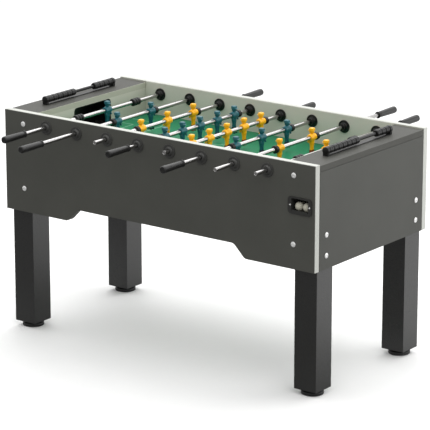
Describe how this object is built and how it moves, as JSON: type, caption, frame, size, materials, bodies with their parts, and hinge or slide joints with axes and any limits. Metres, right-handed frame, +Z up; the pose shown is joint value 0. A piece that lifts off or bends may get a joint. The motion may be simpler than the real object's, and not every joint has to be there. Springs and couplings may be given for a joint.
{
  "type": "foosball table",
  "caption": "Foosball table with sliding, spinning player rods, goals with ball outlets, bead goal counters and levelling feet.",
  "frame": {"origin": "on the floor under the middle of the playing field", "axes": "+X along the table to its right end, +Y from the front side to the back side, +Z up"},
  "size_m": [1.48, 1.384, 0.917],
  "materials": {
    "dark_laminate": "satin dark grey laminate on board",
    "light_laminate": "satin light grey-green laminate on board",
    "pale_edging": "satin pale grey edge banding",
    "green_field": "satin green laminate with pale pitch lines",
    "timber": "bare softwood",
    "black_leg": "satin black laminate on board",
    "foot_plastic": "matte black moulded plastic",
    "black_plastic": "semi-gloss black moulded plastic",
    "black_rubber": "satin black rubber",
    "steel_tube": "polished plated steel",
    "steel_bolt": "plain bright steel",
    "teal_player": "glossy teal plastic with dark shoes",
    "yellow_player": "glossy yellow plastic with red-brown shoes",
    "cream_ball": "satin cream plastic"
  },
  "bodies": {
    "cabinet": {"front_side_panel": "dark_laminate", "back_side_panel": "dark_laminate", "side_wall_liners": "light_laminate", "edge_trims": "pale_edging", "end_panels": "dark_laminate", "top_covers": "dark_laminate", "left_goal_wall": "light_laminate", "right_goal_wall": "light_laminate", "goal_pockets": "black_plastic", "playfield": "green_field", "support_battens": "timber", "ball_chutes": "black_plastic", "ball_cups": "black_plastic", "legs": "black_leg", "bolts_and_screws": "steel_bolt", "counter_frames": "black_plastic", "bearing_housings": "black_plastic", "bearing_nuts": "black_plastic"},
    "front_left_foot": {"front_left_foot": "foot_plastic"},
    "front_right_foot": {"front_right_foot": "foot_plastic"},
    "back_left_foot": {"back_left_foot": "foot_plastic"},
    "back_right_foot": {"back_right_foot": "foot_plastic"},
    "left_counter_front_beads": {"left_counter_front_beads": "black_plastic"},
    "left_counter_back_beads": {"left_counter_back_beads": "black_plastic"},
    "right_counter_front_beads": {"right_counter_front_beads": "black_plastic"},
    "right_counter_back_beads": {"right_counter_back_beads": "black_plastic"},
    "left_ball": {"left_ball": "cream_ball"},
    "right_ball": {"right_ball": "cream_ball"},
    "rod_1_bearings": {"rod_1_sleeves": "black_plastic"},
    "rod_1": {"rod_1_tube_and_screws": "steel_tube", "rod_1_players": "teal_player", "rod_1_grip_and_stops": "black_rubber"},
    "rod_2_bearings": {"rod_2_sleeves": "black_plastic"},
    "rod_2": {"rod_2_tube_and_screws": "steel_tube", "rod_2_players": "teal_player", "rod_2_grip_and_stops": "black_rubber"},
    "rod_3_bearings": {"rod_3_sleeves": "black_plastic"},
    "rod_3": {"rod_3_tube_and_screws": "steel_tube", "rod_3_players": "yellow_player", "rod_3_grip_and_stops": "black_rubber"},
    "rod_4_bearings": {"rod_4_sleeves": "black_plastic"},
    "rod_4": {"rod_4_tube_and_screws": "steel_tube", "rod_4_players": "teal_player", "rod_4_grip_and_stops": "black_rubber"},
    "rod_5_bearings": {"rod_5_sleeves": "black_plastic"},
    "rod_5": {"rod_5_tube_and_screws": "steel_tube", "rod_5_players": "yellow_player", "rod_5_grip_and_stops": "black_rubber"},
    "rod_6_bearings": {"rod_6_sleeves": "black_plastic"},
    "rod_6": {"rod_6_tube_and_screws": "steel_tube", "rod_6_players": "teal_player", "rod_6_grip_and_stops": "black_rubber"},
    "rod_7_bearings": {"rod_7_sleeves": "black_plastic"},
    "rod_7": {"rod_7_tube_and_screws": "steel_tube", "rod_7_players": "yellow_player", "rod_7_grip_and_stops": "black_rubber"},
    "rod_8_bearings": {"rod_8_sleeves": "black_plastic"},
    "rod_8": {"rod_8_tube_and_screws": "steel_tube", "rod_8_players": "yellow_player", "rod_8_grip_and_stops": "black_rubber"}
  },
  "joints": [
    {"name": "front_left_foot_level", "type": "slide", "parent": "cabinet", "child": "front_left_foot", "axis": [0, 0, 1], "range_m": [-0.014, 0]},
    {"name": "front_right_foot_level", "type": "slide", "parent": "cabinet", "child": "front_right_foot", "axis": [0, 0, 1], "range_m": [-0.014, 0]},
    {"name": "back_left_foot_level", "type": "slide", "parent": "cabinet", "child": "back_left_foot", "axis": [0, 0, 1], "range_m": [-0.014, 0]},
    {"name": "back_right_foot_level", "type": "slide", "parent": "cabinet", "child": "back_right_foot", "axis": [0, 0, 1], "range_m": [-0.014, 0]},
    {"name": "left_counter_front_beads_slide", "type": "slide", "parent": "cabinet", "child": "left_counter_front_beads", "axis": [0, 1, 0], "range_m": [0, 0.0575]},
    {"name": "left_counter_back_beads_slide", "type": "slide", "parent": "cabinet", "child": "left_counter_back_beads", "axis": [0, 1, 0], "range_m": [-0.0575, 0]},
    {"name": "right_counter_front_beads_slide", "type": "slide", "parent": "cabinet", "child": "right_counter_front_beads", "axis": [0, 1, 0], "range_m": [0, 0.0575]},
    {"name": "right_counter_back_beads_slide", "type": "slide", "parent": "cabinet", "child": "right_counter_back_beads", "axis": [0, 1, 0], "range_m": [-0.0575, 0]},
    {"name": "left_ball_roll_out", "type": "slide", "parent": "cabinet", "child": "left_ball", "axis": [0, -0.929, 0.37], "range_m": [0, 0.1]},
    {"name": "right_ball_roll_out", "type": "slide", "parent": "cabinet", "child": "right_ball", "axis": [0, -0.929, 0.37], "range_m": [0, 0.1]},
    {"name": "rod_1_spin", "type": "hinge", "parent": "cabinet", "child": "rod_1_bearings", "pos_m": [-0.525, 0, 0.843], "axis": [0, 1, 0], "continuous": true},
    {"name": "rod_1_slide", "type": "slide", "parent": "rod_1_bearings", "child": "rod_1", "axis": [0, 1, 0], "range_m": [-0.121, 0.114]},
    {"name": "rod_2_spin", "type": "hinge", "parent": "cabinet", "child": "rod_2_bearings", "pos_m": [-0.375, 0, 0.843], "axis": [0, 1, 0], "continuous": true},
    {"name": "rod_2_slide", "type": "slide", "parent": "rod_2_bearings", "child": "rod_2", "axis": [0, 1, 0], "range_m": [-0.162, 0.189]},
    {"name": "rod_3_spin", "type": "hinge", "parent": "cabinet", "child": "rod_3_bearings", "pos_m": [-0.225, 0, 0.843], "axis": [0, 1, 0], "continuous": true},
    {"name": "rod_3_slide", "type": "slide", "parent": "rod_3_bearings", "child": "rod_3", "axis": [0, 1, 0], "range_m": [-0.118, 0.118]},
    {"name": "rod_4_spin", "type": "hinge", "parent": "cabinet", "child": "rod_4_bearings", "pos_m": [-0.075, 0, 0.843], "axis": [0, 1, 0], "continuous": true},
    {"name": "rod_4_slide", "type": "slide", "parent": "rod_4_bearings", "child": "rod_4", "axis": [0, 1, 0], "range_m": [-0.079, 0.045]},
    {"name": "rod_5_spin", "type": "hinge", "parent": "cabinet", "child": "rod_5_bearings", "pos_m": [0.075, 0, 0.843], "axis": [0, 1, 0], "continuous": true},
    {"name": "rod_5_slide", "type": "slide", "parent": "rod_5_bearings", "child": "rod_5", "axis": [0, 1, 0], "range_m": [-0.052, 0.078]},
    {"name": "rod_6_spin", "type": "hinge", "parent": "cabinet", "child": "rod_6_bearings", "pos_m": [0.225, 0, 0.843], "axis": [0, 1, 0], "continuous": true},
    {"name": "rod_6_slide", "type": "slide", "parent": "rod_6_bearings", "child": "rod_6", "axis": [0, 1, 0], "range_m": [-0.127, 0.101]},
    {"name": "rod_7_spin", "type": "hinge", "parent": "cabinet", "child": "rod_7_bearings", "pos_m": [0.375, 0, 0.843], "axis": [0, 1, 0], "continuous": true},
    {"name": "rod_7_slide", "type": "slide", "parent": "rod_7_bearings", "child": "rod_7", "axis": [0, 1, 0], "range_m": [-0.189, 0.1615]},
    {"name": "rod_8_spin", "type": "hinge", "parent": "cabinet", "child": "rod_8_bearings", "pos_m": [0.525, 0, 0.843], "axis": [0, 1, 0], "continuous": true},
    {"name": "rod_8_slide", "type": "slide", "parent": "rod_8_bearings", "child": "rod_8", "axis": [0, 1, 0], "range_m": [-0.123, 0.119]}
  ]
}
